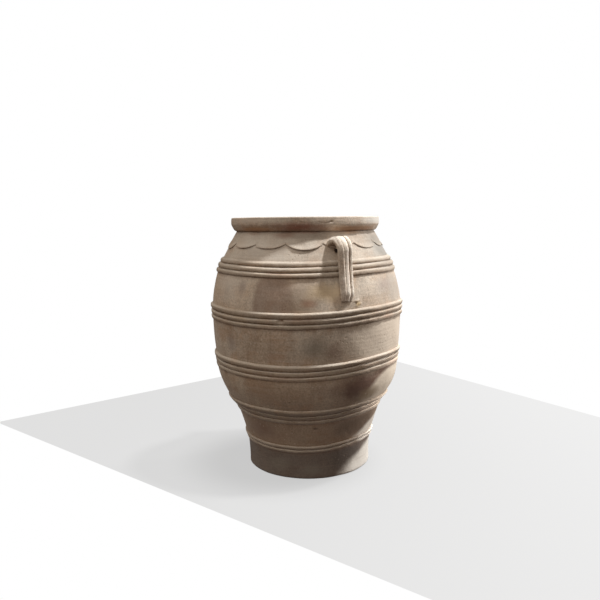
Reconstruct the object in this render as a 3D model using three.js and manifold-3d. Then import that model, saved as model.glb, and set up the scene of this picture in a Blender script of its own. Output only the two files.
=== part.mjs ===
// A large terracotta garden jar, built up from luted courses of clay.
// Millimetres, +Z up. The jar stands on z = 0, its axis is Z and its handles lie on X.
import * as THREE from 'three';
import { mergeVertices } from 'three/addons/utils/BufferGeometryUtils.js';
import Module from 'manifold-3d';

// Heights of the wall courses, from the ground up, and of the rim on top of them.
const footHeight = 90;
const taperHeight = 118;
const lowerBellyHeight = 145;
const middleBellyHeight = 154;
const upperBellyHeight = 148.5;
const shoulderHeight = 106.5;
const rimHeight = 38;

// Outer radius of the bare wall at its widest joint, which lies between the middle and the upper belly.
const bellyRadius = 307;

// How far the wall is drawn in from each joint to the next, going down and going up from the widest one.
const lowerBellyDraw = 9.5;
const taperDraw = 55.5;
const footDraw = 38.5;
const groundDraw = 4.5;
const upperBellyDraw = 29;
const neckDraw = 58.5;
const lowerBellyRadius = bellyRadius - lowerBellyDraw;
const taperRadius = lowerBellyRadius - taperDraw;
const footRadius = taperRadius - footDraw;
const groundRadius = footRadius - groundDraw;
const upperBellyRadius = bellyRadius - upperBellyDraw;
const neckRadius = upperBellyRadius - neckDraw;

// How far each course swells halfway up. A negative swell draws the wall in.
const footSwell = -1.5;
const taperSwell = -3;
const lowerBellySwell = 9;
const middleBellySwell = 2.5;
const upperBellySwell = 7;
const shoulderSwell = 0;

// The clay wall, and the layer of slip that every joint is left room for.
const wallThickness = 20;
const slipGap = 0.3;
const lapHeight = 9;
const chordLength = 46;
const footEdge = 9;
const edgeChords = 2;

// The floor is a wedge-edged slab that drops into the foot.
const floorThickness = 24;
const floorRecess = 5;
const floorWedge = 8;
const drainRadius = 18;

// The rolled rim, and how far it stands out past the neck.
const rimOverhang = 19;
const rimRadius = neckRadius + rimOverhang;
const rimRoll = 18;
const rimEdge = 5;
const rollChords = 3;

// Rolled coils of half-round section. The second coil of each band sits right over a joint.
const broadCoil = 24;
const narrowCoil = 14;
const footCoil = 11;
const coilSpace = 2;
const broadRelief = 8;
const narrowRelief = 6;
const coilChords = 4;

// The apron lies on the shoulder from the rim down to a scalloped edge.
const scallopCount = 16;
const scallopDepth = 19;
const apronDrop = 58;
const apronThickness = 3.6;
const apronRows = 2;

// The strap handles. The run down clears the shoulder coils, and the tail lies on the upper belly.
const handleThickness = 19;
const handleTopWidth = 46;
const handleTailWidth = 37;
const handleDrop = 25;
const handleBend = 28;
const handleRootDrop = 46;
const handleRootSink = 14;
const handleTailRise = 50;
const handleTailLength = 34;
const handleTailSink = 5;
const handleClearance = 2;
const reedCount = 3;
const reedDepth = 3;
const reedChords = 4;
const handleSteps = 18;

// Facets round the jar, and how close two points are before they are one.
const facets = 40;
const fineFacets = facets * 2;
const weld = 0.0001;

// Fired clay in the shades of the dry wall, the worn coils and the damp foot.
const wallClay = { color: '#b39a80', roughness: 0.92, metalness: 0 };
const coilClay = { color: '#c2ab90', roughness: 0.9, metalness: 0 };
const handleClay = { color: '#bfa88e', roughness: 0.9, metalness: 0 };
const footClay = { color: '#8f7b68', roughness: 0.95, metalness: 0 };

const courses = [
  ['foot_wall', footHeight, footRadius, footSwell, footClay],
  ['taper_wall', taperHeight, taperRadius, taperSwell, wallClay],
  ['lower_belly', lowerBellyHeight, lowerBellyRadius, lowerBellySwell, wallClay],
  ['middle_belly', middleBellyHeight, bellyRadius, middleBellySwell, wallClay],
  ['upper_belly', upperBellyHeight, upperBellyRadius, upperBellySwell, wallClay],
  ['shoulder', shoulderHeight, neckRadius, shoulderSwell, wallClay],
].map(([name, height, radius, swell, clay]) => ({ name, height, radius, swell, clay }));

// The outline of the bare wall as one chain of (radius, height) points, with a point at every joint.
const outline = [new THREE.Vector2(groundRadius, 0)];
for (const course of courses) {
  const start = outline[outline.length - 1];
  const end = new THREE.Vector2(course.radius, start.y + course.height);
  const control = start.clone().add(end).divideScalar(2);
  control.x += course.swell * 2;
  const curve = new THREE.QuadraticBezierCurve(start, control, end);
  const chords = Math.max(2, Math.round(course.height / chordLength));
  course.base = start.y;
  course.top = end.y;
  outline.push(...curve.getPoints(chords).slice(1));
}
const neckHeight = outline[outline.length - 1].y;
const jarHeight = neckHeight + rimHeight;

// Outer radius of the bare wall at a height. Above the neck it stays the same.
function wallRadius(z) {
  const index = outline.findIndex((point) => point.y >= z);
  if (index < 0) {
    return neckRadius;
  }
  if (index === 0) {
    return groundRadius;
  }
  const low = outline[index - 1];
  const high = outline[index];
  return THREE.MathUtils.mapLinear(z, low.y, high.y, low.x, high.x);
}

function innerRadius(z) {
  return wallRadius(z) - wallThickness;
}

function outlineBetween(low, high) {
  return outline.filter((point) => point.y > low && point.y < high).map((point) => point.y);
}

// Every revolved piece starts at the same turn, so that facets of nested pieces lie parallel.
function revolve(profile, count = facets) {
  const points = [...profile, profile[0]].map(([radius, z]) => new THREE.Vector2(radius, z));
  const geometry = new THREE.LatheGeometry(points, count, Math.PI / scallopCount);
  return geometry.rotateX(Math.PI / 2);
}

function arc(centreRadius, centreZ, radiusAcross, radiusUp, from, to, chords) {
  const curve = new THREE.EllipseCurve(centreRadius, centreZ, radiusAcross, radiusUp, from, to, to < from);
  return curve.getPoints(chords).map((point) => [point.x, point.y]);
}

const wasm = await Module();
wasm.setup();

function toSolid(geometry) {
  const bare = geometry.clone();
  bare.deleteAttribute('normal');
  bare.deleteAttribute('uv');
  const welded = mergeVertices(bare, weld);
  const mesh = new wasm.Mesh({
    numProp: 3,
    vertProperties: new Float32Array(welded.attributes.position.array),
    triVerts: new Uint32Array(welded.index.array),
  });
  return new wasm.Manifold(mesh);
}

function toGeometry(solid) {
  const mesh = solid.getMesh();
  const geometry = new THREE.BufferGeometry();
  geometry.setAttribute('position', new THREE.BufferAttribute(mesh.vertProperties, mesh.numProp));
  geometry.setIndex(new THREE.BufferAttribute(mesh.triVerts, 1));
  geometry.computeVertexNormals();
  return geometry;
}

const jar = new THREE.Group();

function addPiece(name, geometry, clay) {
  const mesh = new THREE.Mesh(geometry, new THREE.MeshStandardMaterial(clay));
  mesh.name = name;
  jar.add(mesh);
  return mesh;
}

// A joint has a tongue on the inner half of the lower course, and the upper course laps over it.
function tongueTop(z) {
  const face = (wallRadius(z) + innerRadius(z)) / 2 - slipGap / 2;
  const top = z + lapHeight - slipGap / 2;
  return [
    [wallRadius(z), z - slipGap / 2],
    [face, z - slipGap / 2],
    [face, top],
    [innerRadius(top), top],
  ];
}

function rebateBottom(z) {
  const face = (wallRadius(z) + innerRadius(z)) / 2 + slipGap / 2;
  const top = z + lapHeight + slipGap / 2;
  return [
    [innerRadius(top), top],
    [face, top],
    [face, z + slipGap / 2],
    [wallRadius(z), z + slipGap / 2],
  ];
}

// Floor slab, seated by its wedge edge in the foot.
const floorTop = floorRecess + floorThickness;
const seatRadius = innerRadius(floorTop);
const floorHighRadius = seatRadius - slipGap;
addPiece(
  'floor_slab',
  revolve([
    [drainRadius, floorRecess],
    [floorHighRadius - floorWedge, floorRecess],
    [floorHighRadius, floorTop],
    [drainRadius, floorTop],
  ]),
  footClay,
);

// The six courses of wall.
for (const course of courses) {
  const outside = outlineBetween(course.base, course.top).map((z) => [wallRadius(z), z]);
  const middle = (course.base + course.top) / 2 + lapHeight;
  const inside = [[innerRadius(middle), middle]];
  const standing = course === courses[0];
  const bottom = standing
    ? [
        [seatRadius, floorTop],
        [seatRadius - (floorWedge * floorTop) / floorThickness, 0],
        ...arc(groundRadius - footEdge, footEdge, footEdge, footEdge, -Math.PI / 2, 0, edgeChords),
      ]
    : rebateBottom(course.base);
  addPiece(course.name, revolve([...bottom, ...outside, ...tongueTop(course.top), ...inside]), course.clay);
}

// The rim laps over the neck and rolls outward. Its upper edges are rounded.
const rollCentre = neckHeight + rimRoll + slipGap / 2;
const edgeCentre = jarHeight - rimEdge;
const mouthRadius = innerRadius(jarHeight);
addPiece(
  'rim',
  revolve([
    ...rebateBottom(neckHeight).slice(0, 3),
    ...arc(neckRadius, rollCentre, rimOverhang, rimRoll, -Math.PI / 2, 0, rollChords),
    ...arc(rimRadius - rimEdge, edgeCentre, rimEdge, rimEdge, 0, Math.PI / 2, edgeChords),
    ...arc(mouthRadius + rimEdge, edgeCentre, rimEdge, rimEdge, Math.PI / 2, Math.PI, edgeChords),
  ]),
  wallClay,
);

// Coils, stacked downward from the top of each band.
function addCoil(name, low, high, relief) {
  const middle = (low + high) / 2;
  const half = (high - low) / 2;
  const face = arc(0, middle, relief, half, -Math.PI / 2, Math.PI / 2, coilChords);
  const front = face.map(([rise, z]) => [wallRadius(z) + slipGap + rise, z]);
  const back = outlineBetween(low, high).reverse();
  const seat = back.map((z) => [wallRadius(z) + slipGap, z]);
  addPiece(name, revolve([...front, ...seat]), coilClay);
}

const threeCoils = ['top', 'middle', 'bottom'];
const twoCoils = ['top', 'bottom'];
const bands = [
  { name: 'shoulder_coil', joint: courses[4].top, coils: threeCoils, first: narrowCoil, rest: narrowCoil },
  { name: 'upper_coil', joint: courses[3].top, coils: threeCoils, first: broadCoil, rest: narrowCoil },
  { name: 'middle_coil', joint: courses[2].top, coils: threeCoils, first: broadCoil, rest: narrowCoil },
  { name: 'lower_coil', joint: courses[1].top, coils: threeCoils, first: broadCoil, rest: narrowCoil },
  { name: 'foot_coil', joint: courses[0].top, coils: twoCoils, first: footCoil, rest: footCoil },
];
for (const band of bands) {
  let top = band.joint + band.rest / 2 + coilSpace + band.first;
  band.coils.forEach((place, index) => {
    const height = index === 0 ? band.first : band.rest;
    const relief = height === broadCoil ? broadRelief : narrowRelief;
    addCoil(`${band.name}_${place}`, top - height, top, relief);
    top -= height + coilSpace;
  });
}

// The apron is a thin ring whose rows are stretched down to the scalloped edge.
const apronTop = neckHeight - slipGap;
const scallopAngle = (2 * Math.PI) / scallopCount;

function apronEdge(angle) {
  const across = THREE.MathUtils.euclideanModulo(angle / scallopAngle + 1 / 2, 1) * 2 - 1;
  return apronTop - apronDrop + scallopDepth * across * across;
}

function apronGeometry() {
  const rows = Array.from({ length: apronRows + 1 }, (_, index) => index / apronRows);
  const back = rows.map((row) => [1, -row]);
  const front = rows.map((row) => [2, -row]).reverse();
  const geometry = revolve([...front, ...back], fineFacets);
  const position = geometry.attributes.position;
  for (let index = 0; index < position.count; index += 1) {
    const angle = Math.atan2(position.getY(index), position.getX(index));
    const layer = Math.round(Math.hypot(position.getX(index), position.getY(index))) - 1;
    const z = THREE.MathUtils.lerp(apronTop, apronEdge(angle), -position.getZ(index));
    const radius = wallRadius(z) + slipGap + layer * apronThickness;
    position.setXYZ(index, radius * Math.cos(angle), radius * Math.sin(angle), z);
  }
  return geometry;
}

addPiece('apron', apronGeometry(), coilClay);

// A strap handle: a reeded section swept from the apron over a crown and down to a tail on the upper belly.
function strapSection() {
  const half = handleTopWidth / 2;
  const reedWidth = handleTopWidth / reedCount;
  const valley = reedDepth - handleThickness / 2;
  const points = [];
  for (let reed = 0; reed < reedCount; reed += 1) {
    const centre = -half + reedWidth * (reed + 1 / 2);
    const crest = arc(centre, valley, reedWidth / 2, reedDepth, -Math.PI, 0, reedChords);
    points.push(...(reed === 0 ? crest : crest.slice(1)));
  }
  points.push([half, handleThickness / 2 - reedDepth]);
  points.push([half - reedDepth, handleThickness / 2]);
  points.push([reedDepth - half, handleThickness / 2]);
  points.push([-half, handleThickness / 2 - reedDepth]);
  return new THREE.Shape(points.map(([x, y]) => new THREE.Vector2(x, y)));
}

const shoulderCoils = bands[0];
const coilFoot = shoulderCoils.joint - shoulderCoils.rest / 2 - coilSpace - shoulderCoils.rest;
const handleHalf = handleThickness / 2;
const runRadius = wallRadius(coilFoot) + slipGap + narrowRelief + handleClearance + handleHalf;
const crownHeight = neckHeight - handleDrop;
const rootHeight = neckHeight - handleRootDrop;
const tailHeight = courses[3].top + handleTailRise;
const tailTop = tailHeight + handleTailLength;
const bendCentre = [runRadius - handleBend, crownHeight - handleBend];
const handleRun = new THREE.CatmullRomCurve3(
  [
    [wallRadius(rootHeight) - handleRootSink, rootHeight],
    ...arc(...bendCentre, handleBend, handleBend, Math.PI / 2, 0, edgeChords),
    [runRadius, shoulderCoils.joint],
    [wallRadius(tailTop) + handleHalf, tailTop],
    [wallRadius(tailHeight) + handleHalf - handleTailSink, tailHeight],
  ].map(([radius, z]) => new THREE.Vector3(radius, 0, z)),
);

function strapGeometry() {
  const options = { steps: handleSteps, extrudePath: handleRun, bevelEnabled: false };
  const geometry = new THREE.ExtrudeGeometry(strapSection(), options);
  const position = geometry.attributes.position;
  for (let index = 0; index < position.count; index += 1) {
    const rise = (position.getZ(index) - tailHeight) / (crownHeight - tailHeight);
    const width = THREE.MathUtils.lerp(handleTailWidth, handleTopWidth, rise);
    position.setY(index, (position.getY(index) * width) / handleTopWidth);
  }
  return geometry;
}

// The clay that the strap is pressed onto: the bare wall below, and the apron above.
const apronLow = apronTop - apronDrop - slipGap;
const bedLow = courses[4].base;
const bedCore = neckRadius / 2;
const wallHeights = [bedLow, ...outlineBetween(bedLow, apronLow), apronLow];
const apronHeights = [apronLow, ...outlineBetween(apronLow, neckHeight), neckHeight];
const apronFace = slipGap + apronThickness + slipGap;
const bed = toSolid(
  revolve(
    [
      [bedCore, bedLow],
      ...wallHeights.map((z) => [wallRadius(z) + slipGap, z]),
      ...apronHeights.map((z) => [wallRadius(z) + apronFace, z]),
      [bedCore, neckHeight],
    ],
    fineFacets,
  ),
);
const strap = toGeometry(toSolid(strapGeometry()).subtract(bed));
addPiece('handle_right', strap, handleClay);
addPiece('handle_left', strap.clone(), handleClay).rotation.z = Math.PI;

export default jar;
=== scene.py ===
from math import atan2, cos, degrees, exp, hypot, pi, radians, sin, sqrt

import bmesh
import bpy
from mathutils import Matrix, Vector, geometry, noise


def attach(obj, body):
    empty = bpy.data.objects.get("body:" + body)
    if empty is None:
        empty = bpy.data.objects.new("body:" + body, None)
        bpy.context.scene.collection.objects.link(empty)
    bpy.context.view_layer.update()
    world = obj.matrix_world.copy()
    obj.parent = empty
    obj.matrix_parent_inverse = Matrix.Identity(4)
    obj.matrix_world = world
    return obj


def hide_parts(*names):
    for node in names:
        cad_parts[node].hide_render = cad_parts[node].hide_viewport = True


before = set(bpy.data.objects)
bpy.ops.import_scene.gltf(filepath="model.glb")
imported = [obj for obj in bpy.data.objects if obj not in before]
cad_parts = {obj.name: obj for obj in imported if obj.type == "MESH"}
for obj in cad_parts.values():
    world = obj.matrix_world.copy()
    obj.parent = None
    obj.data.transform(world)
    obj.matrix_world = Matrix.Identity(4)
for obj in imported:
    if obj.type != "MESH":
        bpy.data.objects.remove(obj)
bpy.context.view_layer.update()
scene = bpy.context.scene
print("frame loaded:", len(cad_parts), "clay pieces")


# small helpers for numbers

def mixed(first, second, amount):
    return first + (second - first) * amount


def eased(low, high, value):
    t = min(1, max(0, (value - low) / (high - low)))
    return t * t * (3 - 2 * t)


def bell(distance, width):
    return exp(-(distance / width) ** 2)


def rowsBetween(low, high, pitch):
    count = max(1, round((high - low) / pitch))
    return [mixed(low, high, row / count) for row in range(count + 1)]


def turnFrom(angle, side):
    # shortest turn from a place round the jar, given in degrees
    turn = angle - radians(side)
    return (turn + pi) % (2 * pi) - pi


def around(angle, radius, z):
    return Vector((cos(angle) * radius, sin(angle) * radius, z))


def bumps(spot, scale, height, shift=(0, 0, 0)):
    return noise.noise(spot * scale + Vector(shift)) * height


def addObject(name, data):
    item = bpy.data.objects.new(name, data)
    scene.collection.objects.link(item)
    return item


# camera, as the jar was photographed

shot = {
    "lens": 38.9, "sensor": 36,
    "distance": 2.104,  # metres from the jar's axis
    "height": 0.786,
    "side": 67.5,  # degrees round the jar
    "yaw": 0.68, "pitch": 6.9, "roll": -0.65,
}


def placeCamera():
    side = radians(shot["side"])
    turn = radians(shot["side"] + shot["yaw"])
    pitch = radians(shot["pitch"])
    back = Vector((sin(turn) * cos(pitch), -cos(turn) * cos(pitch), sin(pitch)))
    right = Vector((cos(turn), sin(turn), 0))
    roll = Matrix.Rotation(radians(shot["roll"]), 3, back)
    axes = Matrix((roll @ right, roll @ back.cross(right), back)).transposed()
    spot = Vector((sin(side), -cos(side), 0)) * shot["distance"]
    spot.z = shot["height"]
    data = bpy.data.cameras.new("photoCamera")
    data.lens = shot["lens"]
    data.sensor_width = shot["sensor"]
    data.sensor_fit = "HORIZONTAL"
    scene.camera = addObject("photoCamera", data)
    scene.camera.matrix_world = Matrix.Translation(spot) @ axes.to_4x4()


placeCamera()
print("camera placed")


# helpers for shader nodes

bench = {}  # the node tree that is being worked on


def freshTree(owner):
    owner.use_nodes = True
    bench["tree"] = owner.node_tree
    bench["tree"].nodes.clear()


def feed(socket, value):
    if isinstance(value, bpy.types.NodeSocket):
        bench["tree"].links.new(value, socket)
    else:
        socket.default_value = (*value, 1) if socket.type == "RGBA" else value


def put(kind, inputs=None, **settings):
    node = bench["tree"].nodes.new("ShaderNode" + kind)
    for key, value in settings.items():
        setattr(node, key, value)
    for key, value in (inputs or {}).items():
        feed(node.inputs[key], value)
    return node


def calc(operation, first, second):
    return put("Math", {0: first, 1: second}, operation=operation).outputs[0]


def plus(first, second):
    return calc("ADD", first, second)


def minus(first, second):
    return calc("SUBTRACT", first, second)


def times(first, second):
    return calc("MULTIPLY", first, second)


def vectors(operation, first, second, output="Value"):
    return put("VectorMath", {0: first, 1: second}, operation=operation).outputs[output]


def partOf(vector, axis):
    return put("SeparateXYZ", {0: vector}).outputs[axis]


def ramp(value, low, high, toLow=0, toHigh=1):
    inputs = {"Value": value, "From Min": low, "From Max": high, "To Min": toLow, "To Max": toHigh}
    return put("MapRange", inputs, interpolation_type="SMOOTHSTEP").outputs["Result"]


def tint(amount, first, second, share=1, mode="MIX"):
    if share < 1:
        amount = times(amount, share)
    inputs = {0: amount, 6: first, 7: second}
    return put("Mix", inputs, data_type="RGBA", blend_type=mode).outputs[2]


def cloud(place, scale, detail=4, roughness=0.55, warp=0):
    inputs = {"Vector": place, "Scale": scale, "Detail": detail, "Roughness": roughness, "Distortion": warp}
    return put("TexNoise", inputs).outputs["Fac"]


def stretched(place, scale=(1, 1, 1), shift=(0, 0, 0)):
    return put("Mapping", {"Vector": place, "Scale": scale, "Location": shift}).outputs[0]


def scattered(place, shift, cells, rim, core, patches, few, many):
    # round specks of one size, in some patches of the wall only
    spots = put("TexVoronoi", {"Vector": stretched(place, shift=shift), "Scale": cells})
    where = ramp(cloud(place, patches, 3), few, many)
    return times(ramp(spots.outputs["Distance"], rim, core), where)


# what a group's sockets carry, plain numbers where nothing is said
socketKinds = {
    **dict.fromkeys(("Place", "Centre", "Size"), "NodeSocketVector"),
    **dict.fromkeys(("Color", "Body", "Pale", "Warm", "Dark"), "NodeSocketColor"),
    **dict.fromkeys(("Bleached", "Damp", "Rubbed", "Soil"), "NodeSocketColor"),
}


def startGroup(name, inputs, outputs):
    group = bench["tree"] = bpy.data.node_groups.new(name, "ShaderNodeTree")
    for way, labels in (("INPUT", inputs), ("OUTPUT", outputs)):
        for label in labels:
            kind = socketKinds.get(label, "NodeSocketFloat")
            group.interface.new_socket(name=label, in_out=way, socket_type=kind)
    given = group.nodes.new("NodeGroupInput").outputs
    wanted = group.nodes.new("NodeGroupOutput").inputs
    return group, given, wanted


def useGroup(group, inputs):
    return put("Group", inputs, node_tree=group).outputs


# shared effects of old terracotta

toneClouds = (
    # stretch, shift, scale, detail, roughness, warp, from, to, tone and its share
    ((1, 1, 1), (0, 0, 0), 4.6, 3, 0.55, 0.6, 0.4, 0.63, "Pale", 0.8),  # broad patches
    ((1, 1, 1.2), (3, 1, 7), 15, 5, 0.62, 0, 0.44, 0.66, "Warm", 0.65),  # mottling
    ((1, 1, 0.28), (5, 2, 0), 26, 4, 0.6, 0, 0.47, 0.72, "Dark", 0.4),  # runs down the wall
    ((1, 1, 11), (2, 6, 4), 5.5, 4, 0.62, 0, 0.42, 0.66, "Pale", 0.4),  # streaks wiped round it
)


def makeClayTone():
    # cloudy tones of fired clay with a sandy grain
    group, given, wanted = startGroup("clayTone", ("Place", "Body", "Pale", "Warm", "Dark"), ("Color", "Tone"))
    place, colour, masks = given["Place"], given["Body"], []
    for stretch, shift, scale, detail, roughness, warp, low, high, tone, share in toneClouds:
        spread = cloud(stretched(place, stretch, shift), scale, detail, roughness, warp)
        masks.append(ramp(spread, low, high))
        colour = tint(masks[-1], colour, given[tone], share)
    grain = ramp(cloud(place, 190, 3, 0.7), 0.3, 0.72, 0.79, 1.17)
    grey = put("CombineColor", {0: grain, 1: grain, 2: grain}).outputs[0]
    feed(wanted["Color"], tint(1, colour, grey, mode="MULTIPLY"))
    feed(wanted["Tone"], times(plus(masks[0], masks[1]), 0.5))
    return group


def makeThrowLines():
    # fine lines left by fingers and ribs as the wall turned, in millimetres of height
    group, given, wanted = startGroup("throwLines", ("Place", "Depth"), ("Height", "Shade"))
    place = given["Place"]
    fine = cloud(stretched(place, (1.6, 1.6, 150)), 1.5, 3, 0.6)
    broad = cloud(stretched(place, (1.2, 1.2, 34), (4, 8, 2)), 2, 3, 0.5)
    where = ramp(cloud(place, 7, 2), 0.38, 0.62)
    lines = plus(times(minus(fine, 0.5), where), minus(broad, 0.5))
    feed(wanted["Height"], times(lines, given["Depth"]))
    feed(wanted["Shade"], times(ramp(fine, 0.52, 0.72), where))
    return group


def makeGrit():
    # sandy grain, pits where grit fell out, and flecks of lime, heights in millimetres
    group, given, wanted = startGroup("grit", ("Place", "Depth"), ("Height", "Specks", "Flecks"))
    place = given["Place"]
    sand = minus(cloud(place, 330, 4, 0.7), 0.5)
    lumps = minus(cloud(place, 62, 4, 0.6), 0.5)
    pits = scattered(place, (0, 0, 0), 105, 0.3, 0.12, 19, 0.5, 0.66)
    flecks = scattered(place, (9, 4, 1), 70, 0.22, 0.1, 11, 0.54, 0.68)
    rough = plus(times(sand, 0.55), times(lumps, 1.5))
    rough = minus(rough, times(pits, 0.7))
    feed(wanted["Height"], times(rough, given["Depth"]))
    feed(wanted["Specks"], pits)
    feed(wanted["Flecks"], flecks)
    return group


def makeWearAndPaintedLight():
    # paler crests, rubbed wear with painted highlight, and darker creases, lodged soil with painted shade
    group, given, wanted = startGroup("wearAndPaintedLight", ("Place", "Color", "Crest", "DirtAndShade", "Rubbed", "Soil"), ("Color",))
    patchy = ramp(cloud(given["Place"], 34, 4, 0.6), 0.34, 0.62, 0.25, 1)
    crumbly = ramp(cloud(given["Place"], 70, 4, 0.65), 0.36, 0.64, 0.35, 1)
    rubbed = times(ramp(given["Crest"], 0.45, 1), patchy)
    darkened = times(given["DirtAndShade"], crumbly)
    colour = tint(rubbed, given["Color"], given["Rubbed"], 0.75)
    feed(wanted["Color"], tint(darkened, colour, given["Soil"], 0.8))
    return group


def makeWeather():
    # sun-bleached lime on what faces up, damp that has risen from the ground
    group, given, wanted = startGroup("weather", ("Place", "Color", "Bleached", "Damp"), ("Color", "Wet"))
    facing = partOf(put("NewGeometry").outputs["Normal"], "Z")
    height = partOf(given["Place"], "Z")
    ragged = cloud(given["Place"], 9, 5, 0.62)
    bleach = times(ramp(facing, 0.02, 0.75), ramp(ragged, 0.3, 0.62, 0.3, 0.95))
    line = plus(height, times(minus(ragged, 0.5), 0.22))
    wet = ramp(line, 0.33, 0.03)
    colour = tint(bleach, given["Color"], given["Bleached"], 0.6)
    feed(wanted["Color"], tint(wet, colour, given["Damp"], 0.55))
    feed(wanted["Wet"], wet)
    return group


def makePatchMask():
    # one soft ragged patch round a place on the jar
    group, given, wanted = startGroup("patchMask", ("Place", "Centre", "Size", "Ragged", "Edge"), ("Mask",))
    away = vectors("SUBTRACT", given["Place"], given["Centre"], "Vector")
    scaled = vectors("DIVIDE", away, given["Size"], "Vector")
    length = put("VectorMath", {0: scaled}, operation="LENGTH").outputs["Value"]
    ragged = minus(cloud(given["Place"], 30, 5, 0.6), 0.5)
    reach = plus(length, times(ragged, given["Ragged"]))
    feed(wanted["Mask"], ramp(reach, 1, minus(1, given["Edge"])))
    return group


clayTone = makeClayTone()
throwLines = makeThrowLines()
grit = makeGrit()
wearAndPaintedLight = makeWearAndPaintedLight()
weather = makeWeather()
patchMask = makePatchMask()
print("clay effects made")


# the bare wall that everything sits on, and how the hand left it uneven

wall = {
    "joints": (0, 0.09, 0.208, 0.353, 0.507, 0.6555, 0.762),
    "radii": (0.199, 0.2035, 0.242, 0.2975, 0.307, 0.278, 0.217),
    "swells": (-0.0015, -0.0015, 0.015, 0.0025, 0.007, 0), "thickness": 0.02, "lap": 0.009, "slip": 0.0003,
    "steps": 360, "row": 0.0032, "insideRow": 0.00416, "meanRadius": 0.28,
    "outOfRound": (3.3, 0.003),  # noise scale and metres, with a shift where there is a third
    "lumps": (15, 0.0016, (7, 3, 1)), "throwPitch": 0.0115, "throwDepth": 0.0001, "throwWander": (6, 3.5),
    "throwPatches": 4,
    "insideFrom": 0.014,  # this deep under the outside counts as inside
    "insidePitch": 0.015, "insideDepth": 0.0009,
    "insideSoil": (0.3, 0.03, 0.8),  # clean above, full below, and how much
    "bandDip": (0.002, 0.004, 0.004, 0.004, 0.006),  # how far each joint sags in front, from the foot up
    "bandRise": (0.01, 0.011, 0.017, 0.012, 0.003),  # and climbs on the right
    "dipAt": -28, "riseAt": 32, "wanderWidth": 38, "wanderUp": 0.055,
    "soilOver": (0.006, 0.15),  # reach and strength of the soil and painted shade by the bands
    "soilUnder": (0.01, 0.7), "edge": 0.009,
    "lean": 0.4,  # degrees off upright
    "leanTo": -112.5,  # and which way
    "slim": 0.988,  # the fired jar is a little narrower than it was drawn
}
bandEdges = ((0.0855, 0.1095), (0.1865, 0.2355), (0.331, 0.379), (0.4845, 0.532), (0.6305, 0.6775))


def wallRadius(z):
    joints, radii = wall["joints"], wall["radii"]
    z = min(max(z, joints[0]), joints[-1])
    course = 0
    while course < len(radii) - 2 and z > joints[course + 1]:
        course += 1
    t = (z - joints[course]) / (joints[course + 1] - joints[course])
    return mixed(radii[course], radii[course + 1], t) + wall["swells"][course] * 4 * t * (1 - t)


def innerRadius(z):
    return wallRadius(z) - wall["thickness"]


def onWall(side, z):
    return around(radians(side), wallRadius(z), z)


def handMade(angle, z):
    # how far the surface stands off the true round at a place, in metres
    spot = around(angle, wall["meanRadius"], z)
    swirl = 2 * pi * z / wall["throwPitch"] + bumps(spot, *wall["throwWander"])
    ribs = sin(swirl) * wall["throwDepth"] * (0.5 + noise.noise(spot * wall["throwPatches"]))
    return bumps(spot, *wall["outOfRound"]) + bumps(spot, *wall["lumps"]) + ribs


def handLift(angle, z):
    # the joints were not laid quite level
    width = radians(wall["wanderWidth"])
    sag = bell(turnFrom(angle, wall["dipAt"]), width)
    climb = bell(turnFrom(angle, wall["riseAt"]), width)
    lift = 0
    for joint, dip, rise in zip(wall["joints"][1:], wall["bandDip"], wall["bandRise"]):
        lift += (climb * rise - sag * dip) * bell(z - joint, wall["wanderUp"])
    return lift


def soilAndShadeAt(z):
    # soil and painted shade: darker over and under each band of coils, and full on the wall behind the coils
    amount = 0
    for low, high in bandEdges:
        if low <= z <= high:
            return 1
        reach, most = wall["soilOver"] if z > high else wall["soilUnder"]
        amount = max(amount, eased(reach, 0, max(z - high, low - z)) * most)
    return amount


# a clay material from one look

# the second layer marks lodged soil and painted shade alike
wearNames = ("crest", "dirtAndShade", "inside")
usualEdge = (0.8, 0.9)  # how ragged and how soft a patch is where it doesn't say


def shades(look, *names):
    return {name.title(): look[name] for name in names}


def clayMaterial(name, look):
    material = bpy.data.materials.new(name)
    freshTree(material)
    place = put("TexCoord").outputs["Object"]
    crest, dirtAndShade, inside = [put("Attribute", attribute_name=layer).outputs["Fac"] for layer in wearNames]
    tone = useGroup(clayTone, {"Place": place, **shades(look, "body", "pale", "warm", "dark")})
    sunned = {"Place": place, "Color": tone["Color"], **shades(look, "bleached", "damp")}
    weathered = useGroup(weather, sunned)
    colour = weathered["Color"]
    # the patches hold real stains and also painted light and painted shade, as marked in the lists
    for side, height, along, up, shade, strength, *edges in look["stainsAndPaintedLight"]:
        ragged, edge = edges or usualEdge
        spot = {"Centre": onWall(side, height), "Size": (along, along, up), "Ragged": ragged, "Edge": edge}
        mask = useGroup(patchMask, {"Place": place, **spot})["Mask"]
        colour = tint(mask, colour, shade, strength)
    lines = useGroup(throwLines, {"Place": place, "Depth": look["lineDepth"]})
    sand = useGroup(grit, {"Place": place, "Depth": look["gritDepth"]})
    colour = tint(lines["Shade"], colour, look["dark"], look["lineShade"])
    colour = tint(sand["Specks"], colour, look["soil"], look["speckShade"])
    colour = tint(sand["Flecks"], colour, look["rubbed"], look["fleckShade"])
    worn = {"Place": place, "Color": colour, "Crest": crest, "DirtAndShade": dirtAndShade, **shades(look, "rubbed", "soil")}
    colour = useGroup(wearAndPaintedLight, worn)["Color"]
    colour = tint(inside, colour, tint(tone["Tone"], look["soil"], look["warm"]), look["insideShade"])
    dry = plus(times(tone["Tone"], look["toneRoughness"]), look["roughness"])
    rough = minus(dry, times(weathered["Wet"], look["wetGloss"]))
    height = plus(lines["Height"], sand["Height"])
    bump = put("Bump", {"Height": height, "Strength": 1, "Distance": 0.001}).outputs["Normal"]
    shader = put("BsdfPrincipled", {"Base Color": colour, "Roughness": rough, "Normal": bump})
    shader.inputs["Specular IOR Level"].default_value = look["gloss"]
    put("OutputMaterial", {"Surface": shader.outputs["BSDF"]})
    return material


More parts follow.
